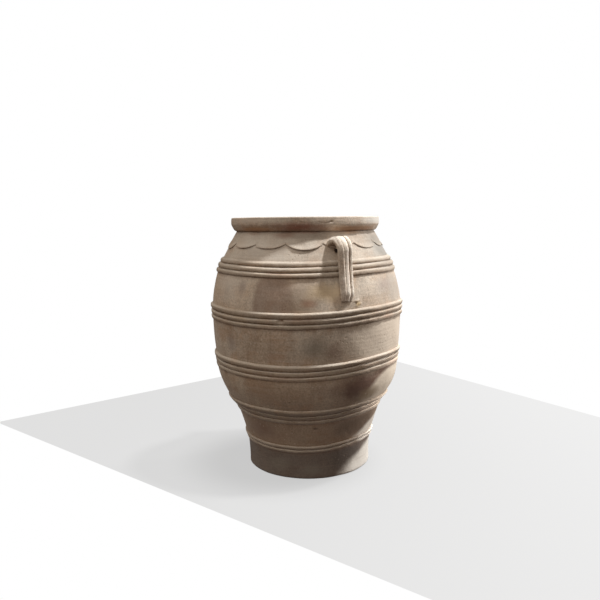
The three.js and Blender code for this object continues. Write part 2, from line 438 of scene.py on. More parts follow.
dryClay = {
    "body": (0.44, 0.35, 0.27), "pale": (0.58, 0.51, 0.43), "warm": (0.43, 0.295, 0.2),
    "dark": (0.26, 0.19, 0.14), "bleached": (0.6, 0.56, 0.495), "damp": (0.3, 0.235, 0.185),
    # the crest colour is rubbed wear and painted highlight; the soil colour also paints shade in creases and under
    # coils
    "rubbed": (0.68, 0.6, 0.505), "soil": (0.25, 0.168, 0.117), "lineDepth": 0.22, "gritDepth": 0.6,
    "roughness": 0.8, "toneRoughness": 0.12, "wetGloss": 0.08, "gloss": 0.22, "lineShade": 0.22,
    "speckShade": 0.45, "fleckShade": 0.5, "insideShade": 0.8,
}
maroon = (0.28, 0.115, 0.078)
redBrown = (0.34, 0.19, 0.125)
plumBrown = (0.25, 0.17, 0.135)
ochre = (0.52, 0.395, 0.265)
ashGrey = (0.21, 0.185, 0.15)
violetGrey = (0.29, 0.235, 0.21)
# painted light: pale clay standing in for sunlight on the lower right
paintedLightPale = (0.82, 0.755, 0.675)
# painted shade: darker clay round the far right, toning down where the lamps light it most
paintedBackShade = (0.3, 0.205, 0.142)


# helpers for the clay meshes

def spinProfile(points, steps, wedges=10):
    # one wedge of the ring is spun, then copied round the axis
    clay = bmesh.new()
    ring = [clay.verts.new((radius, 0, z)) for radius, z in points]
    edges = [clay.edges.new((ring[i - 1], ring[i])) for i in range(len(ring))]
    turn = 2 * pi / wedges
    axis = {"cent": (0, 0, 0), "axis": (0, 0, 1), "dvec": (0, 0, 0)}
    bmesh.ops.spin(clay, geom=ring + edges, angle=turn, steps=steps // wedges, **axis)
    wedge = clay.verts[:] + clay.edges[:] + clay.faces[:]
    bmesh.ops.spin(clay, geom=wedge, angle=turn * (wedges - 1), steps=wedges - 1, use_duplicate=True, **axis)
    bmesh.ops.remove_doubles(clay, verts=clay.verts, dist=0.000001)
    bmesh.ops.recalc_face_normals(clay, faces=clay.faces)
    return clay


def arcPoints(centre, size, start, end, count):
    turns = [radians(mixed(start, end, step / count)) for step in range(count + 1)]
    return [(centre[0] + size * cos(turn), centre[1] + size * sin(turn)) for turn in turns]


def wearLayers(clay):
    return [clay.verts.layers.float.new(name) for name in wearNames]


def polar(vert):
    return atan2(vert.co.y, vert.co.x), hypot(vert.co.x, vert.co.y), vert.co.z


def meshObject(name, clay, material):
    mesh = bpy.data.meshes.new(name)
    clay.to_mesh(mesh)
    clay.free()
    mesh.materials.append(material)
    return addObject(name, mesh)


def finishPiece(name, clay, material, node, sharp=50):
    lean, side = radians(wall["lean"]), radians(wall["leanTo"])
    slant = Matrix.Diagonal((wall["slim"], wall["slim"], 1, 1))
    slant[0][2] = cos(side) * lean
    slant[1][2] = sin(side) * lean
    bmesh.ops.transform(clay, matrix=slant, verts=clay.verts)
    piece = meshObject(name, clay, material)
    piece.data.shade_smooth()
    piece.data.set_sharp_from_angle(angle=radians(sharp))
    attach(piece, "root")
    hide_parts(node)
    print(name, "has", len(piece.data.polygons), "faces")


def wallLook(stainsAndPaintedLight, **changes):
    return {**dryClay, **changes, "stainsAndPaintedLight": stainsAndPaintedLight}


# six courses of wall, each with a tongue that the next one laps over

wallCourses = ({
    "name": "footWall", "node": "foot_wall", "slot": "clay_foot",
    "tones": {
        "body": (0.18, 0.138, 0.11), "pale": (0.235, 0.198, 0.168), "warm": (0.16, 0.11, 0.083),
        "damp": (0.122, 0.093, 0.075), "rubbed": (0.22, 0.18, 0.15),
    },
    "stainsAndPaintedLight": (
        # painted shadow beside the painted light on the right of the foot
        (16, 0.06, 0.09, 0.055, (0.1, 0.077, 0.062), 0.8, 0.6, 0.7),
        (-49, 0.045, 0.06, 0.03, ashGrey, 0.55, 0.9, 0.8),
        (-20, 0.03, 0.05, 0.022, ashGrey, 0.5, 0.9, 0.8),
        (120, 0.05, 0.07, 0.03, ashGrey, 0.5, 0.9, 0.8),
        (-140, 0.025, 0.08, 0.022, ashGrey, 0.5, 0.9, 0.8),
        # painted light: pale clay with a sharp edge where the right of the foot stands in sunlight
        (80, -0.015, 0.262, 0.117, (0.62, 0.58, 0.525), 0.95, 0.1, 0.16),
        # painted shade: darker round the far right, toning down the lamps
        (106, 0.03, 0.155, 0.12, (0.19, 0.148, 0.118), 0.9, 0.6, 0.7),
    ),
}, {
    "name": "taperWall", "node": "taper_wall", "slot": "clay_wall",
    "tones": {
        "body": (0.385, 0.27, 0.19), "pale": (0.46, 0.365, 0.275), "warm": (0.35, 0.213, 0.13),
        "damp": (0.245, 0.17, 0.12),
    },
    "stainsAndPaintedLight": (
        (-17.8, 0.17, 0.012, 0.007, (0.1, 0.075, 0.055), 0.75, 0.6, 0.8),
        (-66, 0.15, 0.1, 0.055, (0.25, 0.168, 0.125), 0.75),
        # painted shadow beside the painted light on the right of the taper
        (25, 0.162, 0.13, 0.065, (0.125, 0.078, 0.046), 0.88, 0.5, 0.7),
        (100, 0.15, 0.06, 0.026, plumBrown, 0.4),
        (-160, 0.165, 0.02, 0.01, ashGrey, 0.6, 0.8, 0.8),
        # painted light: pale clay with a sharp edge where the taper stands in sunlight
        (88, 0.08, 0.258, 0.122, paintedLightPale, 0.95, 0.1, 0.14),
        (106, 0.15, 0.18, 0.14, paintedBackShade, 0.85, 0.7, 0.7),
    ),
}, {
    "name": "lowerBelly", "node": "lower_belly", "slot": "clay_wall",
    "tones": {"body": (0.44, 0.338, 0.252), "pale": (0.57, 0.485, 0.39)},
    "stainsAndPaintedLight": (
        (-39.7, 0.308, 0.006, 0.004, (0.12, 0.08, 0.06), 0.6, 0.5, 0.8),
        (-34.1, 0.263, 0.008, 0.005, (0.12, 0.09, 0.06), 0.55, 0.5, 0.8),
        (17.8, 0.295, 0.003, 0.002, (0.85, 0.8, 0.7), 0.9, 0.2, 0.6),
        (-8, 0.3, 0.08, 0.04, plumBrown, 0.4),
        # painted shadow on the lower belly's right, below the middle band
        (13, 0.3, 0.125, 0.06, (0.121, 0.058, 0.037), 0.88, 0.5, 0.7),
        (-52, 0.29, 0.07, 0.05, (0.36, 0.255, 0.185), 0.5),
        (140, 0.29, 0.09, 0.04, ashGrey, 0.4),
        (-120, 0.28, 0.08, 0.036, redBrown, 0.35),
        # painted shadow just under the middle band on the right
        (34, 0.338, 0.09, 0.03, (0.15, 0.08, 0.052), 0.85, 0.5, 0.6),
        # painted light: pale clay with a sharp edge where the lower belly stands in sunlight
        (60, 0.262, 0.222, 0.107, (0.73, 0.635, 0.52), 0.97, 0.1, 0.14),
        (106, 0.27, 0.225, 0.17, paintedBackShade, 0.85, 0.7, 0.7),
        (19, 0.27, 0.065, 0.034, (0.3, 0.215, 0.13), 0.85, 0.6, 0.8),
    ),
}, {
    "name": "middleBelly", "node": "middle_belly", "slot": "clay_wall",
    "tones": {},
    "stainsAndPaintedLight": (
        (-19, 0.428, 0.062, 0.044, ashGrey, 0.62),
        (-7, 0.412, 0.036, 0.05, plumBrown, 0.5),
        (-71, 0.43, 0.03, 0.036, violetGrey, 0.5, 0.7, 0.8),
        (-40, 0.402, 0.05, 0.02, redBrown, 0.3, 0.9, 0.9),
        (10, 0.44, 0.05, 0.03, ochre, 0.35),
        # painted light: paler clay where the right side is sunlit
        (30, 0.43, 0.2, 0.11, (0.6, 0.512, 0.417), 0.88, 0.5, 0.45),
        # painted shade: darker where the side lamp lights the wall most
        (88, 0.43, 0.14, 0.09, (0.38, 0.315, 0.245), 0.7, 0.6, 0.8),
        (135, 0.43, 0.29, 0.16, paintedBackShade, 0.75, 0.8, 0.8),
        (110, 0.45, 0.08, 0.04, violetGrey, 0.45),
        (-160, 0.43, 0.09, 0.045, plumBrown, 0.4),
    ),
}, {
    "name": "upperBelly", "node": "upper_belly", "slot": "clay_wall",
    "tones": {"body": (0.52, 0.415, 0.32), "pale": (0.64, 0.565, 0.475), "warm": (0.51, 0.36, 0.245)},
    "stainsAndPaintedLight": (
        (-42, 0.5, 0.08, 0.2, plumBrown, 0.6, 0.3, 0.25),
        (-25, 0.57, 0.06, 0.15, (0.4, 0.315, 0.24), 0.7, 0.5, 0.9),
        (-76, 0.6, 0.11, 0.07, (0.58, 0.52, 0.455), 0.5, 0.7, 0.9),
        (-63, 0.598, 0.022, 0.03, violetGrey, 0.45, 0.7, 0.8),
        # ochre stain, made paler as painted light where the handle's shadow falls
        (-13, 0.585, 0.072, 0.04, (0.6, 0.465, 0.295), 0.75),
        (-6.5, 0.59, 0.03, 0.035, (0.8, 0.66, 0.47), 0.7, 0.6, 0.9),
        (-22, 0.556, 0.04, 0.018, redBrown, 0.65),
        (6, 0.551, 0.014, 0.014, (0.56, 0.41, 0.23), 0.85, 1, 0.8),
        (132, 0.58, 0.28, 0.15, paintedBackShade, 0.75, 0.8, 0.8),
        (130, 0.58, 0.08, 0.04, redBrown, 0.35),
        (-140, 0.59, 0.07, 0.045, plumBrown, 0.4, 0.6, 0.5),
        (75, 0.57, 0.06, 0.036, violetGrey, 0.35),
        # painted shade: darker on the lamp-lit right, the second patch also pinkish in tone
        (42, 0.585, 0.155, 0.075, (0.345, 0.308, 0.268), 0.75, 0.6, 0.85),
        (30, 0.6, 0.06, 0.034, (0.34, 0.27, 0.24), 0.45),
    ),
}, {
    "name": "shoulderWall", "node": "shoulder", "slot": "clay_wall",
    "tones": {},
    "stainsAndPaintedLight": (
        (-60, 0.695, 0.06, 0.02, violetGrey, 0.25),
        # painted light: paler on the left, where the lamps light it least
        (-50, 0.7, 0.16, 0.06, (0.6, 0.545, 0.475), 0.5, 0.6, 0.9),
        (130, 0.7, 0.23, 0.11, paintedBackShade, 0.75, 0.8, 0.8),
        # painted shade: darker on the lamp-lit right
        (52, 0.695, 0.18, 0.075, (0.268, 0.25, 0.225), 0.97, 0.5, 0.85),
        # painted shade: dark spot on the wall in the gap under each handle's arch
        (-2.6, 0.706, 0.01, 0.014, (0.035, 0.024, 0.018), 0.97, 0.3, 0.45),
        (177, 0.706, 0.01, 0.014, (0.035, 0.024, 0.018), 0.97, 0.3, 0.45),
        (150, 0.7, 0.07, 0.02, redBrown, 0.3),
    ),
})
slabSeat = {"floorTop": 0.029, "floorThickness": 0.024, "wedge": 0.008}
crumbs = {"at": 6, "height": 0.551, "along": 0.013, "up": 0.012, "rise": 0.01, "scale": 150}


def courseProfile(index):
    low, high = wall["joints"][index], wall["joints"][index + 1]
    slip, lap, half = wall["slip"] / 2, wall["lap"], wall["thickness"] / 2
    tongueFace = wallRadius(high) - half - slip
    tongue = [(tongueFace, high - slip), (tongueFace, high + lap - slip)]
    if index == 0:
        edge = wall["edge"]
        seat = innerRadius(slabSeat["floorTop"])
        toe = seat - slabSeat["wedge"] * slabSeat["floorTop"] / slabSeat["floorThickness"]
        outside = arcPoints((wall["radii"][0] - edge, edge), edge, -90, 0, 6)[:-1]
        outside += [(wallRadius(z), z) for z in rowsBetween(edge, high - slip, wall["row"])]
        inside = rowsBetween(slabSeat["floorTop"], high + lap - slip, wall["row"])
        bottom = [(toe, 0)]
    else:
        rebateFace = wallRadius(low) - half + slip
        outside = [(wallRadius(z), z) for z in rowsBetween(low + slip, high - slip, wall["row"])]
        inside = rowsBetween(low + lap + slip, high + lap - slip, wall["insideRow"])
        bottom = [(rebateFace, low + lap + slip), (rebateFace, low + slip)]
    return outside + tongue + [(innerRadius(z), z) for z in reversed(inside)] + bottom


def shapeWall(clay):
    crest, dirtAndShade, inside = wearLayers(clay)
    dry, wet, most = wall["insideSoil"]
    for vert in clay.verts:
        angle, radius, z = polar(vert)
        move = handMade(angle, z)
        if wallRadius(z) - radius > wall["insideFrom"]:
            swirl = 2 * pi * z / wall["insidePitch"] + angle
            move += sin(swirl) * wall["insideDepth"] if z > slabSeat["floorTop"] else 0
            vert[inside] = 1
            vert[dirtAndShade] = eased(dry, wet, z) * most
        else:
            vert[dirtAndShade] = soilAndShadeAt(z)
            spread = turnFrom(angle, crumbs["at"]) * radius
            near = bell(spread, crumbs["along"]) * bell(z - crumbs["height"], crumbs["up"])
            move += near * abs(bumps(vert.co, crumbs["scale"], crumbs["rise"]))
        vert.co = around(angle, radius + move, z + handLift(angle, z))


for index, course in enumerate(wallCourses):
    clay = spinProfile(courseProfile(index), wall["steps"])
    shapeWall(clay)
    material = clayMaterial(course["name"] + "Clay", wallLook(course["stainsAndPaintedLight"], **course["tones"]))
    finishPiece(course["name"], clay, material, course["node"])
print("wall courses raised")


# floor slab with its drain hole

slab = {
    "recess": 0.005, "drain": 0.018, "round": 0.003, "row": 0.005, "steps": 180, "ridgePitch": 0.016,
    "ridgeDepth": 0.0007, "ridgeFade": 0.01, "soil": 0.6,
    "tones": {"body": (0.3, 0.23, 0.18), "pale": (0.4, 0.33, 0.27)},
}


def makeFloorSlab():
    top, low, drain, edge = slabSeat["floorTop"], slab["recess"], slab["drain"], slab["round"]
    high = innerRadius(top) - wall["slip"]
    points = arcPoints((drain + edge, low + edge), edge, 180, 270, 4)
    points += [(high - slabSeat["wedge"], low)]
    points += [(radius, top) for radius in reversed(rowsBetween(drain + edge, high, slab["row"]))]
    points += arcPoints((drain + edge, top - edge), edge, 90, 180, 4)[1:]
    clay = spinProfile(points, slab["steps"])
    crest, dirtAndShade, inside = wearLayers(clay)
    for vert in clay.verts:
        angle, radius, z = polar(vert)
        radius += handMade(angle, z) * eased(drain, high, radius)
        if z > top - 0.0001:
            ridge = sin(2 * pi * radius / slab["ridgePitch"] + angle) * slab["ridgeDepth"]
            z += ridge * eased(high, high - slab["ridgeFade"], radius)
            vert[inside] = 1
            vert[dirtAndShade] = slab["soil"]
        vert.co = around(angle, radius, z)
    look = wallLook((), **slab["tones"])
    finishPiece("floorSlab", clay, clayMaterial("floorSlabClay", look), "floor_slab")


makeFloorSlab()
print("floor slab laid")


# rolled rim

rim = {
    "radius": 0.2385,
    "lip": 0.758,  # lowest point, hanging a little over the apron
    "overhang": 0.0126,
    "roll": 0.0195,  # height of the slope under the outer face
    "straight": 0.6,  # share of that slope that is straight, the rest is round
    "edge": 0.0035, "top": 0.8, "steps": 540, "row": 0.002, "flatRow": 0.004,
    "belly": 0.0008,  # the outer face is pressed slightly full
    "bellyAt": 0.786, "bellyUp": 0.009, "grain": (34, 0.0006), "wave": (2.4, 0.0012),
    "rubbed": (0.79, 0.798),  # heights between which each one fades in
    "lipSoil": (0.7645, 0.758), "shade": (0.796, 0.77), "nickAt": -3.4, "nickHeight": 0.7855,
    "nickAlong": 0.0031, "nickUp": 0.0025, "nickDepth": 0.0042, "scarAt": -8.5, "scarLow": 0.7805,
    "scarBow": 12, "scarAlong": 0.022, "scarUp": 0.0013, "scarDepth": 0.0016,
    "look": wallLook(
        (
            (-62, 0.764, 0.13, 0.015, (0.5, 0.28, 0.15), 0.8, 0.6, 0.9),
            (16, 0.764, 0.13, 0.014, (0.37, 0.215, 0.125), 0.88, 0.6, 0.7),
            (-27, 0.77, 0.105, 0.021, maroon, 0.85, 0.7, 0.9),
            (-46, 0.776, 0.06, 0.012, redBrown, 0.6),
            (45, 0.789, 0.12, 0.016, (0.55, 0.525, 0.48), 0.88, 0.6, 0.7),
            (-66, 0.791, 0.15, 0.013, (0.68, 0.6, 0.515), 0.65, 0.6, 0.9),
            (49, 0.766, 0.018, 0.008, (0.13, 0.09, 0.06), 0.7, 1.2, 0.8),
            # painted shade: darker round the far right, toning down the lamps
            (128, 0.782, 0.2, 0.06, (0.36, 0.255, 0.18), 0.7, 0.8, 0.8),
            (130, 0.768, 0.09, 0.012, maroon, 0.45),
            (-150, 0.772, 0.08, 0.012, redBrown, 0.5),
        ),
        body=(0.57, 0.465, 0.37), warm=(0.5, 0.345, 0.24),
    ),
}


def makeRim():
    neck, slip, lap, thick = wall["joints"][-1], wall["slip"] / 2, wall["lap"], wall["thickness"]
    neckRadius, edge, top, full = wall["radii"][-1], rim["edge"], rim["top"], rim["radius"]
    mouth, face, seat = neckRadius - thick, neckRadius - thick / 2 + slip, neck + lap + slip
    rollTop = rim["lip"] + rim["roll"]
    points = [(mouth, seat), (face, seat), (face, neck + slip)]
    points.append((full - rim["overhang"] - wall["slip"], neck + slip))
    for z in rowsBetween(rim["lip"], rollTop, rim["row"]):
        t = (rollTop - z) / rim["roll"]
        inset = mixed(1 - sqrt(max(0, 1 - t * t)), t, rim["straight"])
        points.append((full - rim["overhang"] * inset, z))
    points += [(full, z) for z in rowsBetween(rollTop, top - edge, rim["row"])[1:-1]]
    points += arcPoints((full - edge, top - edge), edge, 0, 90, 6)
    points += [(across, top) for across in reversed(rowsBetween(mouth + edge, full - edge, rim["flatRow"])[1:-1])]
    points += arcPoints((mouth + edge, top - edge), edge, 90, 180, 6)
    points += [(mouth, z) for z in reversed(rowsBetween(seat, top - edge, rim["flatRow"])[1:-1])]
    clay = spinProfile(points, rim["steps"])
    crest, dirtAndShade, inside = wearLayers(clay)
    for vert in clay.verts:
        angle, radius, z = polar(vert)
        move = handMade(angle, neck) + bumps(vert.co, *rim["grain"])
        if radius > face:
            proud = eased(neckRadius + 0.008, full - 0.001, radius)
            move += rim["belly"] * bell(z - rim["bellyAt"], rim["bellyUp"]) * proud
            across = turnFrom(angle, rim["nickAt"]) * radius
            nick = bell(across, rim["nickAlong"]) * bell(z - rim["nickHeight"], rim["nickUp"])
            scarTurn = turnFrom(angle, rim["scarAt"]) * radius
            scarLine = rim["scarLow"] + rim["scarBow"] * scarTurn * scarTurn
            scar = bell(scarTurn, rim["scarAlong"]) * bell(z - scarLine, rim["scarUp"])
            move -= nick * rim["nickDepth"] + scar * rim["scarDepth"] * proud
            vert[crest] = eased(*rim["rubbed"], z) * 0.45
            # painted shadow: a dark line under the lip, with soil in the nick and the scar
            vert[dirtAndShade] = max(eased(*rim["lipSoil"], z) * 0.85, nick, scar * 0.5)
        else:
            vert[inside] = eased(*rim["shade"], z)
        z += bumps(around(angle, 1, 2), *rim["wave"]) * eased(neck + 0.01, top, z)
        vert.co = around(angle, radius + move, z)
    finishPiece("rolledRim", clay, clayMaterial("rolledRimClay", rim["look"]), "rim")


makeRim()
print("rim rolled")


# coils laid in bands over the joints

coilBands = ({
    "name": "shoulderCoil", "node": "shoulder_coil",
    "tops": (0.6775, 0.6615, 0.6455), "heights": (0.015, 0.015, 0.015), "reliefs": (0.0064, 0.0068, 0.0066),
    "soft": (0.5, 0.1, 0.1), "crumble": (0, 0, 0), "seed": 3,
}, {
    "name": "upperCoil", "node": "upper_coil",
    "tops": (0.533, 0.5145, 0.498), "heights": (0.0175, 0.015, 0.0135), "reliefs": (0.0073, 0.0064, 0.0052),
    "soft": (0.2, 0.15, 0.15), "crumble": (0.1, 0.35, 1), "seed": 11,
    "chip": (1, -36.3, 0.0115, 0.0062),  # coil, degrees, half length, depth
}, {
    "name": "middleCoil", "node": "middle_coil",
    "tops": (0.38, 0.3605, 0.344), "heights": (0.0185, 0.015, 0.013), "reliefs": (0.0067, 0.0052, 0.0036),
    "soft": (0.4, 0.2, 0.2), "crumble": (0.1, 0.3, 0.4), "seed": 23,
}, {
    "name": "lowerCoil", "node": "lower_coil",
    "tops": (0.2365, 0.2155, 0.199), "heights": (0.02, 0.0145, 0.0125), "reliefs": (0.0068, 0.0052, 0.003),
    "soft": (0.4, 0.2, 0.2), "crumble": (0.1, 0.2, 0.3), "seed": 37,
}, {
    "name": "footCoil", "node": "foot_coil",
    "tops": (0.1095, 0.0965), "heights": (0.0115, 0.011), "reliefs": (0.0054, 0.005),
    "soft": (0.3, 0.2), "crumble": (0.2, 0.3), "seed": 51,
})
coil = {
    "steps": 480, "sink": 0.003,
    "points": 10,  # along each half of the section
    "crestAt": (0.28, 0.45),  # how far down the crest is, on a firm and on a soft coil
    "seedStep": 3.7, "wave": (2.3, 0.0011), "quiver": (12, 0.0005), "fat": (5, 0.16), "fatKnots": (21, 0.064),
    "lumps": (48, 0.0006),
    "crumbAt": 22,  # where the clay tore most
    "crumbWidth": 30, "crumbDepth": 0.0024,
    "litPatchTop": 0.362,  # the painted light patch hides the paled crests below this, between these degrees
    "litPatchFrom": 10, "litPatchTo": 26,
}


def coilProfile(top, height, relief, soft):
    # from the upper edge over the crest to the lower edge, then back behind the wall's face
    low = top - height
    crestHeight = top - height * mixed(*coil["crestAt"], soft)
    turns = [radians(90 * step / coil["points"]) for step in range(coil["points"] + 1)]
    points = []
    for turn in turns[:-1]:
        z = crestHeight + (top - crestHeight) * cos(turn)
        rise = mixed(sin(turn), eased(0, 1, 1 - cos(turn)), soft)
        points.append((wallRadius(z) + relief * rise, z))
    for turn in turns:
        z = crestHeight - (crestHeight - top + height) * sin(turn)
        points.append((wallRadius(z) + relief * cos(turn), z))
    return points + [(wallRadius(z) - coil["sink"], z) for z in (low, top)]


def shapeCoil(clay, band, index):
    crest, dirtAndShade, inside = wearLayers(clay)
    relief, height, top = band["reliefs"][index], band["heights"][index], band["tops"][index]
    seed = band["seed"] + index * coil["seedStep"]
    chipped, chipAt, chipHalf, chipDepth = band.get("chip", (None, 0, 0, 0))
    litPatchFrom, litPatchTo = radians(coil["litPatchFrom"]), radians(coil["litPatchTo"])
    for vert in clay.verts:
        angle, radius, z = polar(vert)
        out = radius - wallRadius(z)
        spot = around(angle, 1, seed)
        lift = handLift(angle, z)
        lift += bumps(spot, *coil["wave"]) + bumps(spot, *coil["quiver"])
        if out > 0:
            torn = bell(turnFrom(angle, coil["crumbAt"]), radians(coil["crumbWidth"]))
            torn = band["crumble"][index] * mixed(0.15, 1, torn)
            fat = 1 + bumps(spot, *coil["fat"]) + bumps(spot, *coil["fatKnots"])
            share = out / relief
            above = (z - top + height) / height
            rough = bumps(vert.co, *coil["lumps"])
            tear = max(0, noise.noise(vert.co * 75) + bumps(vert.co, 220, 0.15)) * coil["crumbDepth"] * torn
            # no pale crest where the painted light patch lies
            litPatch = eased(litPatchFrom, litPatchTo, angle) if z < coil["litPatchTop"] else 0
            vert[crest] = eased(0.7, 1, share) * (1 - 0.6 * torn) * (1 - litPatch)
            # darker where the coil meets the wall and over its lower half: lodged soil with painted shade
            crease = eased(0.4, 0.05, share) * mixed(0.7, 0.25, eased(0.5, 0.8, above))
            vert[dirtAndShade] = max(crease, eased(0.6, 0.1, above) * 0.3)
            out = out * fat + rough * share - tear * mixed(0.4, 1, eased(0.55, 0.05, above)) * share
            if chipped == index:
                along = abs(turnFrom(angle, chipAt) * radius) + bumps(vert.co, 130, 0.004)
                gone = eased(chipHalf, chipHalf * 0.7, along)
                out -= gone * chipDepth * share * mixed(0.35, 1, eased(0.2, 0.7, above))
                # painted shadow in the upper part of the chip
                vert[dirtAndShade] = max(vert[dirtAndShade], gone * 0.7 * eased(0.3, 0.8, above))
        vert.co = around(angle, wallRadius(z) + out + handMade(angle, z + lift), z + lift)


coilLook = wallLook(
    (
        (-35, 0.338, 0.07, 0.016, redBrown, 0.45),
        (-28, 0.507, 0.08, 0.012, (0.3, 0.175, 0.125), 0.45),
        (-62, 0.505, 0.05, 0.018, ochre, 0.35),
        (-40, 0.64, 0.05, 0.01, redBrown, 0.4),
        (30, 0.5, 0.05, 0.016, (0.52, 0.36, 0.27), 0.4),
        (150, 0.35, 0.08, 0.016, redBrown, 0.4),
        # painted shade: darker on the lamp-lit right of the shoulder band
        (48, 0.655, 0.175, 0.034, (0.28, 0.24, 0.198), 0.8, 0.5, 0.9),
        (130, 0.5, 0.27, 0.33, paintedBackShade, 0.7, 0.8, 0.8),
        # painted light: pale clay on the coil tops of the lower right, standing in for sunlight
        (66, 0.225, 0.24, 0.04, (0.93, 0.79, 0.65), 0.95, 0.3, 0.4),
        (60, 0.35, 0.2, 0.02, (0.66, 0.52, 0.41), 0.8, 0.3, 0.5),
        (55, 0.11, 0.125, 0.03, paintedLightPale, 0.9, 0.15, 0.25),
        # painted shade: darker at the foot coil's right end, toning down the side lamp
        (78, 0.108, 0.06, 0.034, (0.4, 0.34, 0.28), 0.85, 0.2, 0.6),
        (130, 0.16, 0.2, 0.16, paintedBackShade, 0.8, 0.8, 0.8),
    ),
    body=(0.39, 0.305, 0.23), pale=(0.47, 0.405, 0.333), rubbed=(0.435, 0.368, 0.295),
    soil=(0.31, 0.222, 0.162), lineDepth=0.5, gritDepth=1,
)
coilClay = clayMaterial("coilClay", coilLook)
for band in coilBands:
    for index, place in enumerate(("top", "bottom") if len(band["tops"]) == 2 else ("top", "middle", "bottom")):
        profile = coilProfile(*[band[key][index] for key in ("tops", "heights", "reliefs", "soft")])
        clay = spinProfile(profile, coil["steps"])
        shapeCoil(clay, band, index)
        finishPiece(band["name"] + place.title(), clay, coilClay, band["node"] + "_" + place)
print("coils laid")


# scalloped apron over the shoulder

apron = {
    "top": 0.7617, "count": 16,
    "cusps": (-84.6, -59.8, -36.1, -10.6, 13.8, 36.4),  # degrees of the cusps in front, the rest are even
    "cusp": 0.7215, "hang": 0.706, "thickness": 0.0026, "lip": 0.0028, "lipAt": 0.0032, "lipWidth": 0.0052,
    "rounding": 0.0008, "thinCusp": 0.5, "sink": 0.001, "meanRadius": 0.25, "fingers": (190, 0.0011),
    "lumps": (40, 0.0004), "rimShadow": 0.46, "curve": 2.1,
    "drift": 6,  # millimetres off the rule where no cut is given
    "steps": 800,
    "rows": (0, 0.08, 0.16, 0.24, 0.32, 0.4, 0.48, 0.55, 0.62, 0.69, 0.76, 0.82, 0.87, 0.91, 0.94, 0.965, 0.985, 1),
    # scallops cut by eye: left rise, right rise and hang in millimetres off the rule
    "cuts": {
        -3: (-5, -1.5, 3), -2: (-8, 1, 2.5), -1: (-1, -2.5, -2), 0: (2, 1, 0), 1: (0.5, -7, 1), 2: (3.5, -2, 4),
    },
    "look": wallLook(
        (
            # painted shadow of the rim on the apron
            (-20, 0.744, 0.095, 0.017, (0.29, 0.24, 0.195), 0.55, 0.6, 0.9),
            (-24, 0.757, 0.08, 0.01, maroon, 0.55),
            (-40, 0.747, 0.05, 0.015, (0.31, 0.2, 0.155), 0.8),
            (14, 0.754, 0.08, 0.01, (0.52, 0.3, 0.16), 0.6),
            (-66, 0.752, 0.05, 0.01, redBrown, 0.35),
            # painted light: paler on the left, where the lamps light it least
            (-62, 0.728, 0.14, 0.04, (0.6, 0.545, 0.475), 0.5, 0.6, 0.9),
            (130, 0.735, 0.22, 0.1, paintedBackShade, 0.75, 0.8, 0.8),
            # painted shade: darker on the lamp-lit right
            (46, 0.73, 0.155, 0.055, (0.265, 0.238, 0.205), 0.95, 0.5, 0.9),
            (140, 0.75, 0.07, 0.012, redBrown, 0.4),
        ),
    ),
}


def scallopEdge(angle):
    # height of the cut edge, and how near the place is to a cusp
    cusps = list(apron["cusps"])
    turn = (degrees(angle) - cusps[0]) % 360 + cusps[0]
    rest = apron["count"] + 1 - len(cusps)
    cusps += [mixed(cusps[-1], cusps[0] + 360, step / rest) for step in range(1, rest + 1)]
    number = max(index for index in range(apron["count"]) if cusps[index] <= turn)
    across = (turn - cusps[number]) / (cusps[number + 1] - cusps[number]) * 2 - 1
    key = number - 3
    drift = [bumps(Vector((key * 3.1, row * 5.3, 0.5)), 1, apron["drift"]) for row in range(3)]
    left, right, hang = apron["cuts"].get(key, drift)
    low = apron["hang"] + hang / 1000
    high = apron["cusp"] + (left if across < 0 else right) / 1000
    return mixed(low, high, abs(across) ** apron["curve"]), abs(across)


def makeApron():
    rows = apron["rows"]
    outer, inner = 2, 1  # stand-in radii, told apart below
    loop = [(outer, -row) for row in rows] + [(inner, -row) for row in reversed(rows)]
    clay = spinProfile(loop, apron["steps"])
    crest, dirtAndShade, inside = wearLayers(clay)
    for vert in clay.verts:
        angle, radius, z = polar(vert)
        row, front = -z, radius > (outer + inner) / 2
        edge, cusp = scallopEdge(angle)
        z = mixed(apron["top"], edge, row)
        spot = around(angle, apron["meanRadius"], z)
        out = -apron["sink"]
        if front:
            fromEdge = (1 - row) * (apron["top"] - edge)
            lip = bell(fromEdge - apron["lipAt"], apron["lipWidth"]) * (0.85 + bumps(spot, 20, 0.5))
            worked = eased(0.72, 1, cusp) * eased(0.022, 0.004, fromEdge)
            thin = mixed(1, apron["thinCusp"], eased(0.45, 0.95, cusp))
            out = (apron["thickness"] + apron["lip"] * lip) * thin - apron["rounding"] * eased(0.0012, 0, fromEdge)
            out += bumps(spot, *apron["fingers"]) * worked + bumps(spot, *apron["lumps"])
            # painted highlight: paler along the lip just above the cut edge
            vert[crest] = eased(0.007, 0.001, fromEdge) * 0.85
            # painted shadow: darker under the rim, with soil where the cusps were worked
            vert[dirtAndShade] = max(eased(0.034, 0, apron["top"] - z) * apron["rimShadow"], worked * 0.25)
        elif row > 0.99:
            vert[dirtAndShade] = 1
        vert.co = around(angle, wallRadius(z) + out + handMade(angle, z), z)
    bmesh.ops.recalc_face_normals(clay, faces=clay.faces)
    finishPiece("scallopApron", clay, clayMaterial("scallopApronClay", apron["look"]), "apron", 40)


makeApron()
print("apron laid")


# two reeded strap handles

